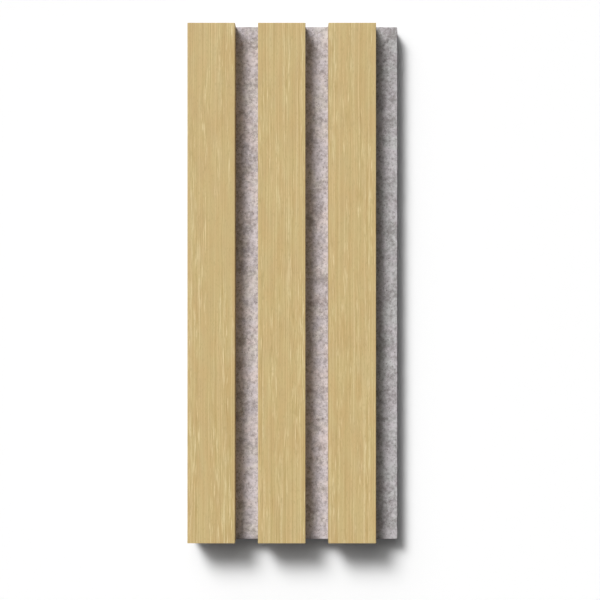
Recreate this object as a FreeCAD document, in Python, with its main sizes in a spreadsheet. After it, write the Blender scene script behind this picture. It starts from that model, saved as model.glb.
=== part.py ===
import FreeCAD, Part
import math
import os
from enum import IntEnum

import Sketcher

# Acoustic slat wall panel: veneered MDF slats, stapled from behind to a board of grey felt.
# X runs across the slats, Y along them and Z away from the wall. The origin is the middle
# of the felt's back face, which lies against the wall. The first slat is flush with the
# left edge, and the felt shows past the last one, so that the next panel carries on the
# rhythm of slats and gaps.

# Driving dimensions: alias, value in millimetres or a count, and what it measures.
SIZES = (
    ("slat_count", 3, "slats side by side"),
    ("slat_width", 27, "slat over its veneer"),
    ("slat_height", 12, "slat, from the felt to its front face"),
    ("gap_width", 13, "felt seen between two slats"),
    ("panel_length", 295, "slats and felt, end to end"),
    ("felt_thickness", 12, "felt board"),
    ("veneer_thickness", 0.3, "veneer on a slat's front and sides"),
    ("core_arris", 0.1, "radius on the two front edges of a core"),
    ("staple_rows", 3, "staples along each slat"),
    ("end_margin", 27.5, "from a panel's end to its first row of staples"),
    ("crown_width", 11, "staple across its two legs"),
    ("wire_width", 1.2, "flat wire of a staple, along the slat"),
    ("wire_thickness", 0.6, "flat wire of a staple, across its bend"),
    ("bend_radius", 0.3, "inside of a staple's bend"),
    ("leg_point", 0.5, "length of the chisel point of a leg"),
    ("leg_bite", 7.3, "depth that a leg enters a slat"),
    ("crown_recess", 0.3, "depth of a staple's crown below the felt's back face"),
    ("staple_clearance", 0.03, "room on each side of a staple's wire"),
)

# Sizes that follow from the driving ones, as expressions.
SLAT_PITCH = "(Sizes.slat_width + Sizes.gap_width)"
PANEL_WIDTH = f"(Sizes.slat_count * {SLAT_PITCH})"
FIRST_SLAT_X = f"((Sizes.slat_width - {PANEL_WIDTH}) / 2)"
CORE_WIDTH = "(Sizes.slat_width - 2 * Sizes.veneer_thickness)"
CORE_HEIGHT = "(Sizes.slat_height - Sizes.veneer_thickness)"
FIRST_ROW_Y = "(Sizes.end_margin - Sizes.panel_length / 2)"
ROW_PITCH = "((Sizes.panel_length - 2 * Sizes.end_margin) / max(Sizes.staple_rows - 1; 1))"
LEG_LENGTH = "(Sizes.felt_thickness - Sizes.crown_recess + Sizes.leg_bite)"
LEG_SPAN = "(Sizes.crown_width - Sizes.wire_thickness)"
SLOT_LENGTH = "(Sizes.wire_width + 2 * Sizes.staple_clearance)"
SLOT_WIDTH = "(Sizes.wire_thickness + 2 * Sizes.staple_clearance)"
MOUTH_WIDTH = "(Sizes.crown_width + 2 * Sizes.staple_clearance)"
MOUTH_DEPTH = "(Sizes.crown_recess + Sizes.wire_thickness + Sizes.staple_clearance)"

# The points of a line or arc that a constraint can name, which a sketch numbers from 1.
START, END, CENTRE = IntEnum("SketchPoint", "START END CENTRE")
# A sketch's own axes, which it numbers down from -1; the first starts at the origin.
ORIGIN, UPRIGHT = -1, -2
# Where the quarter circles of a bent strip start, as angles from the sketch's first axis.
QUARTER_TURN = math.pi / 2
LEFT_SIDE = 2 * QUARTER_TURN
UNDERSIDE = 3 * QUARTER_TURN

doc = FreeCAD.newDocument("AcousticSlatPanel")


def fill_size_sheet():
    """Writes the driving dimensions to the sheet, each under its alias."""
    sheet = doc.addObject("Spreadsheet::Sheet", "Sizes")
    for row, (alias, value, meaning) in enumerate(SIZES, start=1):
        sheet.set(f"A{row}", meaning)
        sheet.set(f"B{row}", str(value))
        sheet.setAlias(f"B{row}", alias)
    doc.recompute()
    return sheet


def new_body(name, x="0", y="0", z="0"):
    """An empty body whose place in the panel is bound to three expressions."""
    body = doc.addObject("PartDesign::Body", name)
    body.Label = name
    for axis, expression in zip("xyz", (x, y, z)):
        body.setExpression(f"Placement.Base.{axis}", expression)
    return body


def origin_feature(body, role):
    """One of a body's own origin planes or axes."""
    return next(f for f in body.Origin.OriginFeatures if f.Role == role)


def new_sketch(body, name, plane):
    """An empty sketch on one of the body's origin planes."""
    sketch = body.newObject("Sketcher::SketchObject", name)
    sketch.AttachmentSupport = [(origin_feature(body, plane), "")]
    sketch.MapMode = "FlatFace"
    return sketch


def bind(sketch, constraint, expression):
    """Adds a dimension to a sketch and ties it to an expression."""
    index = sketch.addConstraint(constraint)
    sketch.setExpression(f"Constraints[{index}]", expression)


def line(sketch, start, end):
    """Adds a straight line between two rough points and returns its index."""
    ends = (FreeCAD.Vector(*start, 0), FreeCAD.Vector(*end, 0))
    return sketch.addGeometry(Part.LineSegment(*ends))


def corner_arc(sketch, middle, radius, start):
    """Adds a rough quarter circle from the angle start and returns its index."""
    circle = Part.Circle(FreeCAD.Vector(*middle, 0), FreeCAD.Vector(0, 0, 1), radius)
    return sketch.addGeometry(Part.ArcOfCircle(circle, start, start + QUARTER_TURN))


def draw_rectangle(sketch, width, height, middle_x="0", bottom_y=None):
    """A rectangle of the given width and height, as expressions.

    It is centred on middle_x, and across the sketch's origin unless bottom_y is given.
    """
    # A rough square to start from: the constraints bring it to size.
    corners = [(-1, -1), (1, -1), (1, 1), (-1, 1)]
    ends = zip(corners, corners[1:] + corners[:1])
    sides = [line(sketch, start, end) for start, end in ends]
    bottom, right, top, left = sides
    add = sketch.addConstraint
    for first, second in zip(sides, sides[1:] + sides[:1]):
        add(Sketcher.Constraint("Coincident", first, END, second, START))
    for flat in (bottom, top):
        add(Sketcher.Constraint("Horizontal", flat))
    for tall in (left, right):
        add(Sketcher.Constraint("Vertical", tall))
    bind(sketch, Sketcher.Constraint("DistanceX", bottom, START, bottom, END, 2), width)
    bind(sketch, Sketcher.Constraint("DistanceY", right, START, right, END, 2), height)
    left_x = f"{middle_x} - {width} / 2"
    bind(sketch, Sketcher.Constraint("DistanceX", ORIGIN, START, bottom, START, -1), left_x)
    low_y = bottom_y if bottom_y is not None else f"-{height} / 2"
    bind(sketch, Sketcher.Constraint("DistanceY", ORIGIN, START, bottom, START, -1), low_y)


def draw_bent_strip(sketch, width, leg, thickness, inner_bend, point="0", base="0"):
    """The edge-on outline of a flat strip bent into a U that opens upwards.

    The strip's crown lies on the height base, centred on the upright axis. The legs end in
    points that slope inwards by the length point. All sizes are expressions.
    """
    # A rough outline to start from: the constraints bring it to size.
    half = 5.0
    thin = 0.5
    top = 10.0
    inner = 0.5
    outer = thin + inner
    tip_foot = top - thin
    left_middle = (outer - half, outer)
    right_middle = (half - outer, outer)
    left_leg = line(sketch, (-half, top), (-half, outer))
    left_bend = corner_arc(sketch, left_middle, outer, LEFT_SIDE)
    crown = line(sketch, (outer - half, 0), (half - outer, 0))
    right_bend = corner_arc(sketch, right_middle, outer, UNDERSIDE)
    right_leg = line(sketch, (half, outer), (half, top))
    right_tip = line(sketch, (half, top), (half - thin, tip_foot))
    inner_right = line(sketch, (half - thin, tip_foot), (half - thin, outer))
    inner_right_bend = corner_arc(sketch, right_middle, inner, UNDERSIDE)
    inner_crown = line(sketch, (half - outer, thin), (outer - half, thin))
    inner_left_bend = corner_arc(sketch, left_middle, inner, LEFT_SIDE)
    inner_left = line(sketch, (thin - half, outer), (thin - half, tip_foot))
    left_tip = line(sketch, (thin - half, tip_foot), (-half, top))

    add = sketch.addConstraint
    for first, first_end, second, second_end in (
        (left_leg, END, left_bend, START),
        (left_bend, END, crown, START),
        (crown, END, right_bend, START),
        (right_bend, END, right_leg, START),
        (inner_right, END, inner_right_bend, END),
        (inner_right_bend, START, inner_crown, START),
        (inner_crown, END, inner_left_bend, END),
        (inner_left_bend, START, inner_left, START),
    ):
        add(Sketcher.Constraint("Tangent", first, first_end, second, second_end))
    for first, second in (
        (right_leg, right_tip),
        (right_tip, inner_right),
        (inner_left, left_tip),
        (left_tip, left_leg),
    ):
        add(Sketcher.Constraint("Coincident", first, END, second, START))
    for tall in (left_leg, right_leg, inner_left, inner_right):
        add(Sketcher.Constraint("Vertical", tall))
    for flat in (crown, inner_crown):
        add(Sketcher.Constraint("Horizontal", flat))
    for bend, inner_bend_arc in ((left_bend, inner_left_bend), (right_bend, inner_right_bend)):
        add(Sketcher.Constraint("Coincident", bend, CENTRE, inner_bend_arc, CENTRE))
    add(Sketcher.Constraint("Equal", inner_left_bend, inner_right_bend))
    add(Sketcher.Constraint("Symmetric", left_leg, START, right_leg, END, UPRIGHT))

    tip_height = f"{base} + {leg}"
    shoulder = f"{base} + {leg} - {point}"
    for constraint, expression in (
        (Sketcher.Constraint("Radius", inner_left_bend, inner), inner_bend),
        (Sketcher.Constraint("DistanceX", left_leg, START, right_leg, END, 2 * half), width),
        (Sketcher.Constraint("DistanceY", crown, START, inner_crown, END, thin), thickness),
        (Sketcher.Constraint("DistanceY", ORIGIN, START, crown, START, 0), base),
        (Sketcher.Constraint("DistanceY", ORIGIN, START, left_leg, START, top), tip_height),
        (Sketcher.Constraint("DistanceY", ORIGIN, START, inner_left, END, tip_foot), shoulder),
        (Sketcher.Constraint("DistanceY", ORIGIN, START, inner_right, START, tip_foot), shoulder),
    ):
        bind(sketch, constraint, expression)


def extrude(body, kind, name, sketch, length, both_ways=False, reverse=False):
    """Adds a pad or a pocket of a sketch, with its length bound to an expression."""
    feature = body.newObject(f"PartDesign::{kind}", name)
    feature.Profile = sketch
    feature.setExpression("Length", length)
    feature.SideType = "Symmetric" if both_ways else "One side"
    feature.Reversed = reverse
    return feature


def repeat(body, name, features, along, count, spacing, across=None):
    """Repeats features along one axis of the body, or along two when across is given.

    across holds the second axis, its count and its spacing. The list of uneven steps along
    that axis is emptied, so that all of them take its spacing.
    """
    pattern = body.newObject("PartDesign::LinearPattern", name)
    pattern.Originals = features
    pattern.Direction = (origin_feature(body, along), [""])
    pattern.Mode = "Spacing"
    pattern.setExpression("Occurrences", count)
    pattern.setExpression("Offset", spacing)
    if across:
        second_axis, second_count, second_spacing = across
        pattern.Direction2 = (origin_feature(body, second_axis), [""])
        pattern.Mode2 = "Spacing"
        pattern.Spacings2 = []
        pattern.setExpression("Occurrences2", second_count)
        pattern.setExpression("Offset2", second_spacing)
    body.Tip = pattern
    return pattern


def make_felt_backing():
    """The felt board, with the slits that the staples' wire has made in it."""
    body = new_body("felt_backing")
    outline = new_sketch(body, "board_outline", "XY_Plane")
    draw_rectangle(outline, PANEL_WIDTH, "Sizes.panel_length")
    extrude(body, "Pad", "board", outline, "Sizes.felt_thickness")

    mouth_outline = new_sketch(body, "crown_mouth_outline", "XY_Plane")
    mouth_outline.setExpression("AttachmentOffset.Base.x", FIRST_SLAT_X)
    mouth_outline.setExpression("AttachmentOffset.Base.y", FIRST_ROW_Y)
    draw_rectangle(mouth_outline, MOUTH_WIDTH, SLOT_LENGTH)
    mouth = extrude(body, "Pocket", "crown_mouth", mouth_outline, MOUTH_DEPTH, reverse=True)

    slit_outline = new_sketch(body, "staple_slit_outline", "XZ_Plane")
    slit_outline.setExpression("AttachmentOffset.Base.x", FIRST_SLAT_X)
    slit_outline.setExpression("AttachmentOffset.Base.z", f"-{FIRST_ROW_Y}")
    draw_bent_strip(
        slit_outline,
        MOUTH_WIDTH,
        f"{LEG_LENGTH} + 2 * Sizes.staple_clearance",
        SLOT_WIDTH,
        "Sizes.bend_radius - Sizes.staple_clearance",
        base="Sizes.crown_recess - Sizes.staple_clearance",
    )
    slit = extrude(body, "Pocket", "staple_slit", slit_outline, SLOT_LENGTH, both_ways=True)

    rows = ("Y_Axis", "Sizes.staple_rows", ROW_PITCH)
    repeat(
        body,
        "staple_slits",
        [mouth, slit],
        "X_Axis",
        "Sizes.slat_count",
        SLAT_PITCH,
        across=rows,
    )
    return body


def make_slat_core(name, x):
    """The MDF core of a slat, with blind slits for the legs of its staples."""
    body = new_body(name, x=x, z="Sizes.felt_thickness")
    section = new_sketch(body, f"{name}_section", "XZ_Plane")
    draw_rectangle(section, CORE_WIDTH, CORE_HEIGHT, bottom_y="0")
    bar = extrude(body, "Pad", f"{name}_bar", section, "Sizes.panel_length", both_ways=True)
    doc.recompute()

    top = bar.Shape.BoundBox.ZMax
    arrises = [
        f"Edge{i}"
        for i, edge in enumerate(bar.Shape.Edges, start=1)
        if edge.BoundBox.ZMin > top / 2 and edge.BoundBox.YLength > top
    ]
    eased = body.newObject("PartDesign::Fillet", f"{name}_arrises")
    eased.Base = (bar, arrises)
    eased.setExpression("Radius", "Sizes.core_arris")

    slits = new_sketch(body, f"{name}_leg_slits", "XY_Plane")
    slits.setExpression("AttachmentOffset.Base.y", FIRST_ROW_Y)
    for side in ("-", ""):
        draw_rectangle(slits, SLOT_WIDTH, SLOT_LENGTH, middle_x=f"{side}{LEG_SPAN} / 2")
    depth = "Sizes.leg_bite + Sizes.staple_clearance"
    pocket = extrude(body, "Pocket", f"{name}_legs", slits, depth, reverse=True)
    repeat(body, f"{name}_leg_rows", [pocket], "Y_Axis", "Sizes.staple_rows", ROW_PITCH)
    return body


def make_slat_veneer(name, x):
    """The veneer, wrapped over a slat's front and sides; it is drawn on its back."""
    body = new_body(name, x=x, z="Sizes.felt_thickness + Sizes.slat_height")
    body.Placement.Rotation = FreeCAD.Rotation(FreeCAD.Vector(0, 1, 0), 180)
    section = new_sketch(body, f"{name}_section", "XZ_Plane")
    draw_bent_strip(
        section,
        "Sizes.slat_width",
        "Sizes.slat_height",
        "Sizes.veneer_thickness",
        "Sizes.core_arris",
    )
    extrude(body, "Pad", f"{name}_wrap", section, "Sizes.panel_length", both_ways=True)
    return body


def make_staple(name, x, y):
    """A staple of flat wire, its crown in the felt's back and its legs in a slat."""
    body = new_body(name, x=x, y=y, z="Sizes.crown_recess")
    outline = new_sketch(body, f"{name}_outline", "XZ_Plane")
    draw_bent_strip(
        outline,
        "Sizes.crown_width",
        LEG_LENGTH,
        "Sizes.wire_thickness",
        "Sizes.bend_radius",
        point="Sizes.leg_point",
    )
    extrude(body, "Pad", f"{name}_wire", outline, "Sizes.wire_width", both_ways=True)
    return body


def check_model(bodies):
    """Stops the script if a feature failed or a piece isn't one sound solid."""
    for item in doc.Objects:
        if {"Invalid", "Error"} & set(item.State):
            raise RuntimeError(f"{item.Label} failed: {item.State}")
    for body in bodies:
        shape = body.Shape
        if shape.isNull() or not shape.isValid() or len(shape.Solids) != 1:
            raise RuntimeError(f"{body.Label} isn't one sound solid")


def main():
    sheet = fill_size_sheet()
    bodies = [make_felt_backing()]
    for slat in range(int(sheet.slat_count)):
        x = f"{FIRST_SLAT_X} + {slat} * {SLAT_PITCH}"
        bodies.append(make_slat_core(f"slat_core_{slat + 1}", x))
        bodies.append(make_slat_veneer(f"slat_veneer_{slat + 1}", x))
        for row in range(int(sheet.staple_rows)):
            y = f"{FIRST_ROW_Y} + {row} * {ROW_PITCH}"
            bodies.append(make_staple(f"staple_{slat + 1}_{row + 1}", x, y))
    doc.recompute()
    check_model(bodies)
    os.makedirs("parts", exist_ok=True)
    for body in bodies:
        body.Shape.exportStep(f"parts/{body.Label}.step")
        print(f"{body.Label}: {body.Shape.Volume:.3f} cubic millimetres")


main()
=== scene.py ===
import math

import bpy
import numpy as np
from bpy.props import FloatProperty, FloatVectorProperty, IntProperty, PointerProperty
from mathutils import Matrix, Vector


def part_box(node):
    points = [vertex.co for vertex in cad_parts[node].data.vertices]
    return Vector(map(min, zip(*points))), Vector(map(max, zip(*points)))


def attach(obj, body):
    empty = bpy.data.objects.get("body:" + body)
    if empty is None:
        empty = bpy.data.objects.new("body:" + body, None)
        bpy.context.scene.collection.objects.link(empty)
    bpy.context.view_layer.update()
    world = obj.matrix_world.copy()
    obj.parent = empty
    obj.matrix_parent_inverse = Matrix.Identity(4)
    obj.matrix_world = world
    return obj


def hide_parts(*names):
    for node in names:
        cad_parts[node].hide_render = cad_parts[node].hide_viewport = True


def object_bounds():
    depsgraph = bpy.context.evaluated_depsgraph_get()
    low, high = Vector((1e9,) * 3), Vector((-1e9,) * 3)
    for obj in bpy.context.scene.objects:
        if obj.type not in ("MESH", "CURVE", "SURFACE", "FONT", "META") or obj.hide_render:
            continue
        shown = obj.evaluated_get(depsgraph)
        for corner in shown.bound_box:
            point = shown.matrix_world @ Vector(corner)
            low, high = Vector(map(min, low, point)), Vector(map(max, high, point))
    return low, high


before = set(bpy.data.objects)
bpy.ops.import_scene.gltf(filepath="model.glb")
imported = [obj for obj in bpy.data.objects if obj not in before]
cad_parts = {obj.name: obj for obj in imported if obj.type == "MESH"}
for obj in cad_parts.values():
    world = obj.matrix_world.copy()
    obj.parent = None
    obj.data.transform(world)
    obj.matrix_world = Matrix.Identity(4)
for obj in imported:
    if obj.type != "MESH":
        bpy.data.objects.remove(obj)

# An acoustic slat wall panel: oak-veneered fibreboard slats on a board of mottled grey felt.
# X runs across the slats, Y along them and Z out of the felt's back. Sizes are in metres.

bl_info = {
    "name": "Acoustic Slat Wall Panel",
    "version": (1, 0, 0),
    "blender": (4, 5, 0),
    "location": "3D View > Sidebar > Slat Panel",
    "description": "Dresses a slat wall panel with oak veneer, fibreboard, felt and staples",
    "category": "Object",
}

MM = 0.001
CAD_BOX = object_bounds()
CAD_LOW = np.array(CAD_BOX[0])
FELT_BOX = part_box("felt_backing")
VENEERS = sorted(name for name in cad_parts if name.startswith("slat_veneer_"))
CORES = sorted(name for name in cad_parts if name.startswith("slat_core_"))
STAPLES = sorted(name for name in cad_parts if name.startswith("staple_"))
SLAT_SPANS = [(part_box(name)[0].x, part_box(name)[1].x) for name in VENEERS]
SLAT_PITCH = SLAT_SPANS[1][0] - SLAT_SPANS[0][0]
SLAT_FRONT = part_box(VENEERS[0])[1].z
# The strips of felt that show: one beside each slat, up to the next slat or the board's edge.
STRIPS = list(zip(
    [right for _, right in SLAT_SPANS],
    [left for left, _ in SLAT_SPANS[1:]] + [FELT_BOX[1].x],
))

# Spacing and share of each layer of noise in the felt's relief.
RELIEF_LAYERS = ((5.5 * MM, 0.6), (2.3 * MM, 0.7), (1.1 * MM, 0.8))
# Spacing of the felt board's points where a slat covers them.
COVERED_CELL = 3 * MM
# Where the board's lines run beside a staple, in shares of the reach of its dip.
CROWN_LINES = (-1.9, -0.9, -0.4, 0.0, 0.4, 0.9, 1.9)
# Lean of the loose fibres from their face's longer side, in radians: its spread and its most.
LEAN_SPREAD = 0.9
MOST_LEAN = 1.25
# The shortest loose fibre as a share of the longest, and the bows' spread as a share of the length.
SHORTEST_SHARE = 0.25
BOW_SPREAD = 0.12
# Share of a face's shorter side that one fibre may span, and the least slant it is counted with.
SPANNED_SHARE = 0.75
LEAST_SLANT = 0.1
# Least way of a fibre from the face's rim.
RIM_MARGIN = 0.3 * MM
# Shades of the dark and light loose fibres, from 0 for the felt's darkest to 1 for its lightest.
DARK_SHADE = 0.1
LIGHT_SHADE = 0.85
# Share of its girth that a loose fibre keeps at its ends.
TIP_SHARE = 0.45


def colour_property(name, description, default):
    """A colour that the sidebar shows, in linear red, green and blue."""
    return FloatVectorProperty(
        name=name, description=description, default=default, subtype="COLOR", min=0, max=1
    )


def length_property(name, description, default):
    """A length that the sidebar shows, in metres. It can't be 0, because some lengths divide."""
    return FloatProperty(
        name=name, description=description, default=default, min=0.01 * MM, unit="LENGTH",
        precision=5,
    )


def share_property(name, description, default):
    """A share from 0 to 1 that the sidebar shows."""
    return FloatProperty(name=name, description=description, default=default, min=0, max=1)


class OakSettings(bpy.types.PropertyGroup):
    """Colours and sizes of the oak veneer."""

    ground: colour_property("Ground", "Between the lines of grain", (0.569, 0.433, 0.197))
    pale: colour_property("Pale line", "The lightest lines of grain", (0.678, 0.556, 0.292))
    deep: colour_property("Deep line", "The darkest lines of grain", (0.478, 0.350, 0.137))
    tan: colour_property("Tan cast", "Cast of the warmer patches", (0.988, 0.920, 0.905))
    cool: colour_property("Cool cast", "Cast of the cooler patches", (0.965, 0.970, 1.0))
    fleck: colour_property("Fleck", "Short pale flecks in the grain", (0.730, 0.600, 0.330))
    pore: colour_property("Pore", "Fine dark pores", (0.396, 0.293, 0.114))
    pore_depth: length_property("Pore depth", "Relief of the open grain", 0.00003)


class BoardSettings(bpy.types.PropertyGroup):
    """Colours of the fibreboard that shows at the slats' sawn ends."""

    light: colour_property("Light fibre", "The board's paler fibres", (0.46, 0.33, 0.20))
    dark: colour_property("Dark fibre", "The board's darker fibres", (0.27, 0.17, 0.09))


class FeltSettings(bpy.types.PropertyGroup):
    """Colours and sizes of the felt board."""

    # These fibre colours carry a rosy tint that is partly painted warm light bounced from the oak
    # slats.
    light: colour_property("Light fibre", "The felt's palest fibres", (0.641, 0.590, 0.592))
    middle: colour_property("Middle fibre", "The felt's ground", (0.503, 0.459, 0.459))
    dark: colour_property("Dark fibre", "The felt's darkest fibres", (0.210, 0.180, 0.166))
    rose: colour_property("Rose cast", "Cast of the rosier clouds", (1.0, 0.97, 0.99))
    sage: colour_property("Sage cast", "Cast of the greener clouds", (0.98, 1.0, 0.985))
    cool: colour_property("Cool cast", "Cast of the bluer clouds", (0.925, 0.935, 1.0))
    # The edge cast takes that painted warm bounce off the felt towards its free edge, leaving it
    # greyer and a little darker.
    edge: colour_property("Edge cast", "Cast of the felt at its free edge", (0.892, 0.939, 0.945))
    cell: length_property("Cell", "Spacing of the modelled surface's points", 0.0009)
    relief: length_property("Relief", "Height of the felt's unevenness", 0.00012)
    edge_radius: length_property("Edge radius", "Roundness of the board's edges", 0.0004)
    crown_dip: length_property("Crown dip", "Depth that a staple draws the felt in", 0.0003)
    crown_reach: length_property("Crown reach", "How far round a staple the felt dips", 0.0013)
    strand_density: IntProperty(
        name="Strands", description="Loose fibres on a square metre", default=300000, min=0
    )
    cut_share: share_property("Cut edges", "Share of those fibres that the cut edges keep", 0.3)
    dark_share: share_property("Dark strands", "Share of the loose fibres that are dark", 0.35)
    strand_length: length_property("Strand length", "The longest loose fibre", 0.006)
    strand_radius: length_property("Strand radius", "Radius of a loose fibre", 0.000032)
    strand_lift: length_property("Strand lift", "How far a loose fibre arches up", 0.0001)


class WireSettings(bpy.types.PropertyGroup):
    """The finish of the staples."""

    zinc: colour_property("Zinc", "The staples' coating", (0.60, 0.60, 0.59))
    dull: colour_property("Dull zinc", "Duller patches of the coating", (0.42, 0.42, 0.42))


class StageSettings(bpy.types.PropertyGroup):
    """The camera, the lamps and the floor."""

    camera: FloatVectorProperty(
        name="Camera",
        description="The camera's place, from the middle of the slats' fronts",
        default=(-0.0006, 0, 0.740),
        unit="LENGTH",
        precision=4,
    )
    lens: FloatProperty(name="Lens", description="Focal length", default=78.35, unit="CAMERA")
    shift: FloatVectorProperty(
        name="Shift", description="Shift of the picture, in its widths", size=2,
        default=(0.01305, -0.0283), precision=4,
    )
    fall: FloatVectorProperty(
        name="Fall of light", description="Way that the soft lamp's light runs",
        default=(0.54, -0.845, -1),
    )
    key_widths: FloatVectorProperty(
        name="Key widths",
        description="Angles that the soft lamp's core, body and halo fill, seen from the panel",
        default=[math.radians(width) for width in (12, 23.5, 55)],
        unit="ROTATION",
    )
    key_shares: FloatVectorProperty(
        name="Key shares",
        description="Shares of the floor's light from the soft lamp's core, body and halo",
        default=(0.15, 0.51, 0.25),
        min=0,
    )
    overhead_width: FloatProperty(
        name="Overhead width",
        description="Angle that the broad lamp overhead fills; it gives the rest of the light",
        default=math.radians(100),
        subtype="ANGLE",
    )
    bounce: FloatProperty(
        name="Bounce", description="Share of its light that the floor throws back on the panel",
        default=0.3, min=0, max=1,
    )
    floor_size: length_property("Floor size", "Length of the floor's sides", 12.0)


class PanelSettings(bpy.types.PropertyGroup):
    """All the panel's settings."""

    oak: PointerProperty(type=OakSettings)
    board: PointerProperty(type=BoardSettings)
    felt: PointerProperty(type=FeltSettings)
    wire: PointerProperty(type=WireSettings)
    stage: PointerProperty(type=StageSettings)


def settings():
    """The panel's settings in the open scene."""
    return bpy.context.scene.slat_panel


class Value:
    """An output of a shader node. Sums, differences and products of it add Math nodes."""

    def __init__(self, finish, socket):
        self.finish = finish
        self.socket = socket

    def maths(self, operation, *others):
        """A Math node of this value and the others."""
        inputs = dict(enumerate((self, *others)))
        return self.finish.node("ShaderNodeMath", {"operation": operation}, inputs)

    def __add__(self, other):
        return self.maths("ADD", other)

    def __mul__(self, other):
        return self.maths("MULTIPLY", other)

    def __sub__(self, other):
        return self.maths("SUBTRACT", other)

    def __truediv__(self, other):
        return self.maths("DIVIDE", other)

    def __rsub__(self, other):
        inputs = {0: other, 1: self}
        return self.finish.node("ShaderNodeMath", {"operation": "SUBTRACT"}, inputs)

    __radd__ = __add__
    __rmul__ = __mul__


class Finish:
    """A procedural material, and the few ways in which this file adds nodes to it."""

    def __init__(self, name, tree=None):
        if tree is None:
            self.material = bpy.data.materials.new(name)
            self.material.use_nodes = True
            tree = self.material.node_tree
        self.tree = tree
        self.tree.nodes.clear()

    def node(self, kind, how=None, inputs=None, output=0):
        """Adds a node, sets how it works, fills its sockets and returns an output if it has any."""
        node = self.tree.nodes.new(kind)
        for name, setting in (how or {}).items():
            setattr(node, name, setting)
        for key, value in (inputs or {}).items():
            if isinstance(value, Value):
                self.tree.links.new(value.socket, node.inputs[key])
            else:
                node.inputs[key].default_value = value
        return Value(self, node.outputs[output]) if node.outputs else None

    def place(self):
        """The point's place on the panel, in millimetres, as three values."""
        metres = self.node("ShaderNodeTexCoord", output="Object")
        inputs = {0: metres, 1: (1 / MM, 1 / MM, 1 / MM)}
        millimetres = self.node("ShaderNodeVectorMath", {"operation": "MULTIPLY"}, inputs)
        x = self.node("ShaderNodeSeparateXYZ", inputs={0: millimetres})
        return [Value(self, socket) for socket in x.socket.node.outputs]

    def noise(self, x, y, z, detail=2.0, roughness=0.5):
        """Noise from 0 to 1, whose lumps are about one unit of x, y and z across."""
        vector = self.node("ShaderNodeCombineXYZ", inputs={0: x, 1: y, 2: z})
        inputs = {"Vector": vector, "Scale": 1.0, "Detail": detail, "Roughness": roughness}
        return self.node("ShaderNodeTexNoise", inputs=inputs)

    def ramp(self, value, low, high):
        """A smooth step of a value, from 0 at low to 1 at high."""
        how = {"interpolation_type": "SMOOTHSTEP"}
        return self.node("ShaderNodeMapRange", how, {0: value, 1: low, 2: high})

    def mix(self, first, second, share, blend="MIX"):
        """A blend from the first colour to the second."""
        how = {"data_type": "RGBA", "blend_type": blend}
        return self.node("ShaderNodeMix", how, {0: share, 6: first, 7: second}, output=2)

    def bump(self, height, depth):
        """A normal that a height from 0 to 1 tilts, over a depth in metres."""
        return self.node("ShaderNodeBump", inputs={"Height": height, "Distance": depth})

    def surface(self, **sockets):
        """Ends the material in a Principled BSDF with the given sockets."""
        inputs = {name.replace("_", " "): value for name, value in sockets.items()}
        shader = self.node("ShaderNodeBsdfPrincipled", inputs=inputs)
        self.node("ShaderNodeOutputMaterial", inputs={"Surface": shader})
        return self.material


def opaque(colour):
    """A colour property's red, green and blue with full opacity."""
    return (*colour, 1.0)


def oak_finish():
    """Oak veneer, straight and close in the grain, with a pattern of its own on each slat.

    A few streaks sway along the whole slat, and fine lines lie between them. In some bands short
    pale and dark dashes gather, and the brightest of them are flecks; the other bands stay plain.
    Soft tan and cool casts, rare pin knots and fine pores lie over all.
    """
    look = settings().oak
    oak = Finish("oak_veneer")
    x, y, z = oak.place()
    slat = ((x - SLAT_SPANS[0][0] / MM) * (MM / SLAT_PITCH)).maths("FLOOR")
    seed = (slat + 0.5) * 23.9
    sway = oak.noise(x / 25, y / 30, z / 25 + seed)
    across = x + (sway - 0.5) * 1.4

    def lines(width, length, shift=0.0, detail=0.0):
        """Noise drawn out into lines about this wide and long, in millimetres.

        Each layer has a shift of its own, so that no two are alike.
        """
        return oak.noise(across / width, y / length, (z + shift) / width + seed, detail)

    streak = lines(0.6, 600)
    fine = lines(0.4, 70, 5)
    dash = lines(0.4, 9, 9)
    figure = oak.ramp(lines(4, 80, 13), 0.44, 0.58)
    closeness = oak.ramp(lines(4, 120, 37), 0.42, 0.62) * 0.40 + 0.10
    pale = oak.ramp(streak, 0.60, 0.70) * 0.7 + oak.ramp(fine, 0.52, 0.72) * closeness * 1.1
    deep = oak.ramp(streak, 0.38, 0.28) * 0.6 + oak.ramp(fine, 0.50, 0.24) * closeness
    pale_dash = oak.ramp(dash, 0.56, 0.70) * figure * 0.6
    deep_dash = oak.ramp(dash, 0.42, 0.27) * figure * 0.5
    paled = oak.mix(opaque(look.ground), opaque(look.pale), pale + pale_dash)
    lined = oak.mix(paled, opaque(look.deep), deep + deep_dash)
    tan = oak.ramp(lines(5, 20, 17, 1), 0.70, 0.30)
    cool = oak.ramp(lines(5, 15, 51, 1), 0.35, 0.75)
    tinted = oak.mix(lined, opaque(look.tan), tan * 0.8, blend="MULTIPLY")
    cooled = oak.mix(tinted, opaque(look.cool), cool * 0.8, blend="MULTIPLY")
    flecked = oak.mix(cooled, opaque(look.fleck), oak.ramp(dash, 0.68, 0.78) * figure * 0.8)
    knots = oak.ramp(lines(3.2, 7, 45), 0.75, 0.82) * figure
    pores = oak.ramp(lines(0.35, 2, 27), 0.62, 0.74)
    colour = oak.mix(flecked, opaque(look.pore), pores * 0.3 + knots * 0.25)
    return oak.surface(
        Base_Color=colour,
        Roughness=0.55 + (fine - 0.5) * 0.4,
        Specular_IOR_Level=0.3,
        Normal=oak.bump(fine - pores * 0.5, look.pore_depth),
    )


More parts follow.
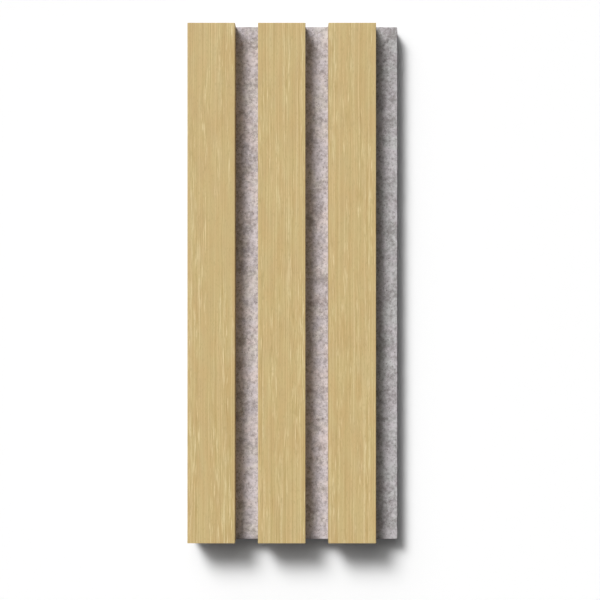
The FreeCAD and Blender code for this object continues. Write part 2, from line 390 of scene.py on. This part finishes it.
def board_finish():
    """Sawn fibreboard: short fibres in light and dark, denser towards the faces."""
    look = settings().board
    board = Finish("fibreboard")
    x, y, z = board.place()
    flakes = board.noise(x * 1.6, y * 0.5, z * 3.4, detail=4.0, roughness=0.7)
    specks = board.noise(x * 4.0, y * 2.0, z * 4.0, detail=1.0)
    clouds = board.noise(x * 0.35, y * 0.35, z * 0.35)
    middle = (FELT_BOX[1].z + SLAT_FRONT) / 2 / MM
    half = (SLAT_FRONT - FELT_BOX[1].z) / 2 / MM
    skin = board.ramp((z - middle).maths("ABSOLUTE"), half * 0.55, half)
    shade = flakes + (clouds - 0.5) * 0.5 - skin * 0.10
    base = board.mix(opaque(look.dark), opaque(look.light), board.ramp(shade, 0.30, 0.68))
    colour = board.mix(base, opaque(look.dark), board.ramp(specks, 0.62, 0.72) * 0.6)
    return board.surface(
        Base_Color=colour,
        Roughness=0.82 + (flakes - 0.5) * 0.15,
        Specular_IOR_Level=0.2,
        Normal=board.bump(flakes, 0.05 * MM),
    )


def felt_finish():
    """Needled felt: clouds, short fibres lying two ways, and dark specks.

    Its cast drifts between rose, sage and cool, and turns grey towards the board's free edge: the
    rosy tint between the slats is partly painted warm light bounced from the oak, and it fades out
    where no slat stands beside the felt.
    """
    look = settings().felt
    felt = Finish("grey_felt")
    x, y, z = felt.place()

    def lumps(size, shift=0.0, detail=2.0, roughness=0.6):
        """Noise in lumps about this size, in millimetres."""
        return felt.noise(x / size, y / size, z / size + shift, detail, roughness)

    leaning = x * 0.80 + y * 0.60
    crossing = y * 0.80 - x * 0.60
    strands = felt.noise(leaning / 0.5, crossing / 2.0, z / 0.5)
    others = felt.noise(crossing / 0.5, leaning / 2.0, z / 0.5 + 30.0)
    fibre = strands.maths("MAXIMUM", others)
    patches = lumps(8, 16) * 0.42 - 0.08
    shade = patches + lumps(1.8, 10, detail=3.0) * 0.62 + fibre * 0.23
    base = felt.mix(opaque(look.middle), opaque(look.light), felt.ramp(shade, 0.52, 0.68))
    deep = felt.mix(base, opaque(look.dark), felt.ramp(shade, 0.57, 0.42) * 0.55)
    specks = felt.ramp(lumps(0.9, 60), 0.60, 0.70)
    speckled = felt.mix(deep, opaque(look.dark), specks * 0.8)
    rose = felt.ramp(lumps(8, 80), 0.35, 0.65)
    cool = felt.ramp(lumps(8, 120), 0.35, 0.65)
    # Painted bounce light: the felt stays rosy between the slats, as if lit by warm light off the
    # oak, and turns greyer and a little darker from the last slat out to the free edge.
    last_strip = STRIPS[-1][0] / MM
    painted_bounce_fade = felt.ramp(x + (lumps(6, 90) - 0.5) * 8, last_strip - 5, last_strip + 4)
    cast = felt.mix(opaque(look.sage), opaque(look.rose), rose)
    cooled = felt.mix(cast, opaque(look.cool), cool * (1 - painted_bounce_fade))
    tinted = felt.mix(speckled, cooled, 1.0, blend="MULTIPLY")
    # The edge cast multiplies in this painted bounce fade, greyer and darker where no oak throws
    # warm light.
    return felt.surface(
        Base_Color=felt.mix(tinted, opaque(look.edge), painted_bounce_fade, blend="MULTIPLY"),
        Roughness=1.0,
        Specular_IOR_Level=0.15,
        Sheen_Weight=0.1,
        Normal=felt.bump(shade, 0.10 * MM),
    )


def strand_finish():
    """Loose fibres: each is one shade of the felt's, from its shade attribute."""
    look = settings().felt
    strand = Finish("felt_strand")
    shade = strand.node("ShaderNodeAttribute", {"attribute_name": "shade"}, output="Fac")
    x, y, z = strand.place()
    patches = strand.noise(x, y, z)
    colour = strand.mix(opaque(look.dark), opaque(look.light), shade + (patches - 0.5) * 0.3)
    return strand.surface(Base_Color=colour, Roughness=0.8, Specular_IOR_Level=0.3)


def wire_finish():
    """Galvanised flat wire: bright zinc with duller patches and fine marks of drawing."""
    look = settings().wire
    wire = Finish("galvanised_wire")
    x, y, z = wire.place()
    patches = wire.noise(x * 1.4, y * 1.4, z * 1.4, detail=3.0)
    lines = wire.noise(x * 0.4, y * 9.0, z * 9.0)
    colour = wire.mix(opaque(look.zinc), opaque(look.dull), wire.ramp(patches, 0.40, 0.65))
    return wire.surface(
        Base_Color=colour,
        Metallic=1.0,
        Roughness=0.30 + patches * 0.25,
        Normal=wire.bump(lines, 0.01 * MM),
    )


def lattice_noise(points, cell, seed):
    """Smooth noise from -1 to 1.

    Random numbers sit on a cubic lattice, and a point's value blends the eight around it by the
    smooth step 3t^2 - 2t^3 along each axis. The lattice starts two cells outside the panel, so
    that a point that stands a little proud still has all eight.
    """
    scaled = points / cell
    base = np.floor(scaled).astype(int)
    share = scaled - base
    share = share * share * (3 - 2 * share)
    base -= np.floor(CAD_LOW / cell).astype(int) - 2
    values = np.random.default_rng(seed).uniform(-1, 1, base.max(axis=0) + 2)
    total = np.zeros(len(points))
    for corner in np.ndindex(2, 2, 2):
        weight = np.prod(np.where(corner, share, 1 - share), axis=1)
        total += weight * values[tuple((base + corner).T)]
    return total


def felt_unevenness(points):
    """Height of the felt's relief at each point: layers of smooth noise added up."""
    layers = [
        share * lattice_noise(points, spacing, seed)
        for seed, (spacing, share) in enumerate(RELIEF_LAYERS, start=1)
    ]
    return settings().felt.relief * sum(layers)


def steps(low, high, step):
    """Evenly spaced values from low to high, about a step apart."""
    return np.linspace(low, high, max(2, round((high - low) / step) + 1))


def edge_lines(low, high, radius):
    """Four values that carry a rounded edge at each end of a side."""
    inner = np.array((0.0, 0.35, 1.0)) * radius
    return np.concatenate((low + inner, high - inner))


def merged_lines(*groups, gap):
    """The groups' values in order, without those less than a gap after the last."""
    values = np.unique(np.round(np.concatenate(groups), 9))
    keep = np.concatenate(([True], np.diff(values) > gap))
    return values[keep]


def box_shell(xs, ys, zs):
    """A closed box of quads, whose six sides are grids on the lines xs, ys and zs.

    A point is named by its three line numbers, so that the sides share the points of an edge.
    """
    counts = (len(xs), len(ys), len(zs))
    sides = []
    for axis in range(3):
        u, v = (axis + 1) % 3, (axis + 2) % 3
        rows, columns = np.indices((counts[u] - 1, counts[v] - 1)).reshape(2, -1, 1)
        for level, order in ((0, -1), (counts[axis] - 1, 1)):
            quads = np.full((len(rows), 4, 3), level)
            quads[:, :, u] = rows + (0, 1, 1, 0)
            quads[:, :, v] = columns + (0, 0, 1, 1)
            sides.append(quads[:, ::order])
    lattice = np.concatenate(sides)
    names = np.ravel_multi_index(tuple(np.moveaxis(lattice, -1, 0)), counts)
    kept, faces = np.unique(names, return_inverse=True)
    i, j, k = np.unravel_index(kept, counts)
    return np.column_stack((xs[i], ys[j], zs[k])), faces.reshape(-1, 4)


def rounded_box(points, low, high, radius):
    """Rounds the edges of a box: each point moves onto the ball of that radius that rolls inside.

    Returns the points and their outward directions.
    """
    centres = np.clip(points, low + radius, high - radius)
    outward = points - centres
    outward /= np.linalg.norm(outward, axis=1, keepdims=True)
    return centres + radius * outward, outward


def new_piece(name, points, faces, material):
    """A smooth mesh object that rides on the panel. Its faces all have as many corners."""
    mesh = bpy.data.meshes.new(name)
    mesh.from_pydata(points, [], faces.tolist())
    mesh.polygons.foreach_set("use_smooth", np.ones(len(faces), bool))
    mesh.materials.append(material)
    mesh.update()
    piece = bpy.data.objects.new(name, mesh)
    bpy.context.scene.collection.objects.link(piece)
    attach(piece, "root")
    return piece


def crown_pull(points):
    """How far the staples' crowns draw the felt's back in.

    Each makes a soft pit, whose depth falls as exp(-(d / reach)^2) at a distance d from the crown.
    """
    look = settings().felt
    pull = np.zeros(len(points))
    for name in STAPLES:
        low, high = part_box(name)
        middle = np.array(((low.x + high.x) / 2, (low.y + high.y) / 2))
        half = np.array((high.x - low.x, high.y - low.y)) / 2
        beyond = np.maximum(np.abs(points[:, :2] - middle) - half, 0)
        away = np.hypot(*beyond.T)
        depth = low.z + look.crown_dip
        pull = np.maximum(pull, depth * np.exp(-((away / look.crown_reach) ** 2)))
    return pull


def covered_share(points):
    """1 under a slat and 0 in the strips, with a short slope across each edge of a slat."""
    slope = 0.5 * MM
    share = np.zeros(len(points))
    for left, right in SLAT_SPANS:
        inside = np.minimum(points[:, 0] - left, right - points[:, 0])
        share = np.maximum(share, np.clip(inside / slope + 0.5, 0, 1))
    return share


def board_lines(low, high):
    """The lines of the felt board's grid along x, y and z, close together at its rounded edges.

    Along x they lie a cell apart in the strips, and wider apart under the slats, with a few more
    beside each staple. Along y and z they lie a cell apart.
    """
    look = settings().felt
    cell, radius = look.cell, look.edge_radius

    def even_lines(axis):
        """Lines along y or z."""
        between = steps(low[axis] + 2 * radius, high[axis] - 2 * radius, cell)
        return merged_lines(between, edge_lines(low[axis], high[axis], radius), gap=0)

    strips = [steps(left - cell, right + cell, cell) for left, right in STRIPS]
    crowns = np.array([(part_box(name)[0].x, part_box(name)[1].x) for name in STAPLES])
    beside = crowns.reshape(-1, 1) + np.array(CROWN_LINES) * look.crown_reach
    covered = [steps(left, right, COVERED_CELL) for left, right in SLAT_SPANS]
    inside = np.concatenate(strips + [beside.ravel()] + covered)
    clear = 1.3 * radius
    inside = inside[(inside > low[0] + clear) & (inside < high[0] - clear)]
    xs = merged_lines(inside, edge_lines(low[0], high[0], radius), gap=0.1 * MM)
    return xs, even_lines(1), even_lines(2)


class SLATPANEL_OT_felt_board(bpy.types.Operator):
    """Models the felt board: a rounded box with uneven faces and a pit at each staple"""

    bl_idname = "slat_panel.felt_board"
    bl_label = "Felt board"

    def execute(self, context):
        low, high = np.array(FELT_BOX[0]), np.array(FELT_BOX[1])
        points, faces = box_shell(*board_lines(low, high))
        points, outward = rounded_box(points, low, high, settings().felt.edge_radius)

        # The relief only goes inwards where a slat or the wall presses on the felt.
        height = felt_unevenness(points)
        up = np.clip(outward[:, 2], 0, 1)
        down = np.clip(-outward[:, 2], 0, 1)
        pressed = np.maximum(up * covered_share(points), down)
        height = height * (1 - pressed) - np.abs(height) * pressed
        points = points + outward * height[:, None]
        points[:, 2] += down * crown_pull(points)
        board = new_piece("felt_board", points, faces, felt_finish())
        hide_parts("felt_backing")
        return {"FINISHED"}


def strand_tubes(starts, along, across, up, length, bow, lift, radius, ground):
    """Thin closed tubes, three-sided, one for each row of the arrays.

    With t from 0 to 1, a strand's line is start + along * length * t, bowed sideways by
    across * bow * sin(pi t) and lifted by up * lift * sin(pi t) from the felt's relief, which
    ground gives. The tube thins towards both ends.
    """
    rings, sides = 6, 3
    t = np.linspace(0, 1, rings)[None, :, None]
    arch = np.sin(math.pi * t)
    line = starts[:, None] + along[:, None] * length[:, None, None] * t
    line = line + across[:, None] * bow[:, None, None] * arch
    rise = ground(line.reshape(-1, 3)).reshape(line.shape[:2])[..., None]
    line = line + up[:, None] * (rise + lift[:, None, None] * arch)
    side = np.cross(np.gradient(line, axis=1), up[:, None])
    side /= np.linalg.norm(side, axis=2, keepdims=True)
    turn = np.arange(sides) * 2 * math.pi / sides
    girth = radius * (TIP_SHARE + (1 - TIP_SHARE) * np.sqrt(arch))[:, :, None]
    ring = side[:, :, None] * np.cos(turn)[:, None] + up[:, None, None] * np.sin(turn)[:, None]
    points = (line[:, :, None] + ring * girth).reshape(-1, 3)

    i, j = np.indices((rings - 1, sides)).reshape(2, -1)
    beside = (j + 1) % sides
    quads = np.column_stack((i * sides + j, i * sides + beside,
                             (i + 1) * sides + beside, (i + 1) * sides + j))
    walls = np.concatenate((quads[:, (0, 1, 2)], quads[:, (0, 2, 3)]))
    last = (rings - 1) * sides
    caps = np.array(((2, 1, 0), (last, last + 1, last + 2)))
    one = np.concatenate((walls, caps))
    offsets = np.arange(len(starts)) * rings * sides
    return points, (one[None] + offsets[:, None, None]).reshape(-1, 3)


def strand_patches():
    """The faces that carry strands: two corners, the way out, and whether the felt is cut there."""
    low, high = np.array(FELT_BOX[0]), np.array(FELT_BOX[1])
    x_axis, y_axis, z_axis = np.eye(3)
    strips = [
        (np.array((left, low[1], high[2])), np.array((right, high[1], high[2])), z_axis, False)
        for left, right in STRIPS
    ]
    edges = []
    for axis in (x_axis, y_axis):
        board = (high - low) * axis
        edges += [(low, high - board, -axis, True), (low + board, high, axis, True)]
    return strips + edges


def scatter_strands(lowest, highest, up, count, longest, rng):
    """Starts, ways, sideways directions, lengths and bows of strands that stay on one face.

    Most lie along the face's longer side. None is longer than its lean leaves room for.
    """
    size = highest - lowest
    flat = [axis for axis in np.eye(3) if not axis @ up]
    narrow, wide = sorted(flat, key=lambda axis: size @ axis)
    lean = rng.normal(0, LEAN_SPREAD, count).clip(-MOST_LEAN, MOST_LEAN)
    slant = np.maximum(np.abs(np.sin(lean)), LEAST_SLANT)
    room = SPANNED_SHARE * (size @ narrow) / slant
    length = np.minimum(rng.uniform(SHORTEST_SHARE, 1, count) * longest, room)
    bow = rng.normal(0, BOW_SPREAD, count) * length
    along = np.outer(np.cos(lean), wide) + np.outer(np.sin(lean), narrow)
    across = np.outer(-np.sin(lean), wide) + np.outer(np.cos(lean), narrow)
    reach = along * length[:, None]
    margin = np.outer(np.abs(bow) + RIM_MARGIN, wide + narrow)
    spare = np.maximum(size - 2 * margin - np.abs(reach), 0)
    starts = lowest + margin + np.maximum(-reach, 0) + rng.uniform(size=(count, 3)) * spare
    return starts, along, across, length, bow


class SLATPANEL_OT_felt_strands(bpy.types.Operator):
    """Scatters loose fibres over the felt's strips and cut edges"""

    bl_idname = "slat_panel.felt_strands"
    bl_label = "Felt strands"

    def execute(self, context):
        look = settings().felt
        rng = np.random.default_rng(seed=11)
        points, faces, shades = [], [], []
        total = 0
        for lowest, highest, up, cut in strand_patches():
            area = np.prod((highest - lowest)[up == 0])
            kept = look.cut_share if cut else 1
            count = max(1, round(look.strand_density * area * kept))
            starts, along, across, length, bow = scatter_strands(
                lowest, highest, up, count, look.strand_length, rng
            )
            tube_points, tube_faces = strand_tubes(
                starts,
                along,
                across,
                np.tile(up, (count, 1)),
                length,
                bow,
                rng.uniform(0, look.strand_lift, count),
                look.strand_radius,
                felt_unevenness,
            )
            points.append(tube_points)
            faces.append(tube_faces + total)
            total += len(tube_points)
            dark = rng.uniform(size=count) < look.dark_share
            shade = np.where(dark, DARK_SHADE, LIGHT_SHADE)
            shades.append(np.repeat(shade, len(tube_points) // count))
        strands = new_piece(
            "felt_strands",
            np.concatenate(points),
            np.concatenate(faces),
            strand_finish(),
        )
        layer = strands.data.attributes.new("shade", "FLOAT", "POINT")
        layer.data.foreach_set("value", np.concatenate(shades).astype(np.float32))
        return {"FINISHED"}


def dress(names, material):
    """Gives CAD nodes their material."""
    for name in names:
        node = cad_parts[name]
        node.material_slots[0].material = material


class SLATPANEL_OT_veneers(bpy.types.Operator):
    """Finishes the slats' veneers in oak"""

    bl_idname = "slat_panel.veneers"
    bl_label = "Veneers"

    def execute(self, context):
        dress(VENEERS, oak_finish())
        return {"FINISHED"}


class SLATPANEL_OT_cores(bpy.types.Operator):
    """Finishes the slats' cores in sawn fibreboard"""

    bl_idname = "slat_panel.cores"
    bl_label = "Cores"

    def execute(self, context):
        dress(CORES, board_finish())
        return {"FINISHED"}


class SLATPANEL_OT_staples(bpy.types.Operator):
    """Finishes the staples in galvanised wire"""

    bl_idname = "slat_panel.staples"
    bl_label = "Staples"

    def execute(self, context):
        dress(STAPLES, wire_finish())
        return {"FINISHED"}


class SLATPANEL_OT_stage(bpy.types.Operator):
    """Sets the floor, the soft lamp, the broad lamp overhead and the camera"""

    bl_idname = "slat_panel.stage"
    bl_label = "Stage"

    def execute(self, context):
        look = settings().stage
        self.make_floor(look)
        for name, width, share in zip(("core", "body", "halo"), look.key_widths, look.key_shares):
            self.make_lamp(f"key_{name}", look.fall, width, share)
        self.make_lamp("overhead", (0, 0, -1), look.overhead_width, 1 - sum(look.key_shares))
        self.make_world()
        self.make_camera(look)
        context.scene.view_settings.view_transform = "Standard"
        return {"FINISHED"}

    def make_floor(self, look):
        """A white floor that the panel lies on, which keeps its shadow."""
        half = look.floor_size / 2
        corners = [(-half, -half, 0), (half, -half, 0), (half, half, 0), (-half, half, 0)]
        mesh = bpy.data.meshes.new("floor")
        mesh.from_pydata(corners, [], [(0, 1, 2, 3)])
        floor = bpy.data.objects.new("floor", mesh)
        bpy.context.scene.collection.objects.link(floor)
        white = Finish("white_floor")
        colour = white.mix(opaque([look.bounce] * 3), opaque((1, 1, 1)), seen_directly(white))
        shader = white.node("ShaderNodeBsdfDiffuse", inputs={"Color": colour})
        white.node("ShaderNodeOutputMaterial", inputs={"Surface": shader})
        mesh.materials.append(white.material)

    def make_lamp(self, name, fall, width, share):
        """A far lamp whose light runs along fall and gives the floor a share of its white."""
        fall = Vector(fall).normalized()
        lamp = bpy.data.lights.new(name, "SUN")
        lamp.energy = math.pi * share / -fall.z
        lamp.angle = width
        holder = bpy.data.objects.new(name, lamp)
        holder.rotation_euler = fall.to_track_quat("-Z", "Y").to_euler()
        holder.location = -fall
        bpy.context.scene.collection.objects.link(holder)

    def make_world(self):
        """White where the camera, a gloss or glass sees past the floor, and no light of its own."""
        world = bpy.data.worlds.new("studio")
        world.use_nodes = True
        bpy.context.scene.world = world
        sky = Finish("studio", world.node_tree)
        inputs = {"Color": opaque((1, 1, 1)), "Strength": seen_directly(sky)}
        shader = sky.node("ShaderNodeBackground", inputs=inputs)
        sky.node("ShaderNodeOutputWorld", inputs={"Surface": shader})

    def make_camera(self, look):
        """A camera that looks straight down on the panel, as in the photograph."""
        lens = bpy.data.cameras.new("camera")
        lens.lens = look.lens
        lens.shift_x, lens.shift_y = look.shift
        lens.clip_start = 0.01
        lens.clip_end = 100.0
        camera = bpy.data.objects.new("camera", lens)
        camera.location = Vector((0, 0, SLAT_FRONT)) + Vector(look.camera)
        bpy.context.scene.collection.objects.link(camera)
        bpy.context.scene.camera = camera


def seen_directly(finish):
    """1 on a ray from the camera, a gloss or glass, and 0 on one that only carries light."""
    rays = [
        finish.node("ShaderNodeLightPath", output=f"Is {kind} Ray")
        for kind in ("Camera", "Glossy", "Transmission")
    ]
    return rays[0].maths("MAXIMUM", rays[1]).maths("MAXIMUM", rays[2])


class SLATPANEL_PT_sidebar(bpy.types.Panel):
    """Lists the panel's pieces and their settings"""

    bl_label = "Slat Panel"
    bl_idname = "SLATPANEL_PT_sidebar"
    bl_space_type = "VIEW_3D"
    bl_region_type = "UI"
    bl_category = "Slat Panel"

    def draw(self, context):
        for piece in OPERATORS:
            self.layout.operator(piece.bl_idname)
        for group in PanelSettings.__annotations__:
            box = self.layout.box()
            box.label(text=group.title())
            part = getattr(settings(), group)
            for name in part.__annotations__:
                box.prop(part, name)


OPERATORS = (
    SLATPANEL_OT_stage,
    SLATPANEL_OT_felt_board,
    SLATPANEL_OT_felt_strands,
    SLATPANEL_OT_cores,
    SLATPANEL_OT_veneers,
    SLATPANEL_OT_staples,
)
CLASSES = (
    OakSettings,
    BoardSettings,
    FeltSettings,
    WireSettings,
    StageSettings,
    PanelSettings,
    *OPERATORS,
    SLATPANEL_PT_sidebar,
)


def register():
    for item in CLASSES:
        bpy.utils.register_class(item)
    bpy.types.Scene.slat_panel = PointerProperty(type=PanelSettings)


def unregister():
    del bpy.types.Scene.slat_panel
    for item in reversed(CLASSES):
        bpy.utils.unregister_class(item)


def main():
    register()
    bpy.ops.slat_panel.stage()
    bpy.ops.slat_panel.felt_board()
    bpy.ops.slat_panel.felt_strands()
    bpy.ops.slat_panel.cores()
    bpy.ops.slat_panel.veneers()
    bpy.ops.slat_panel.staples()


if __name__ == "__main__":
    main()
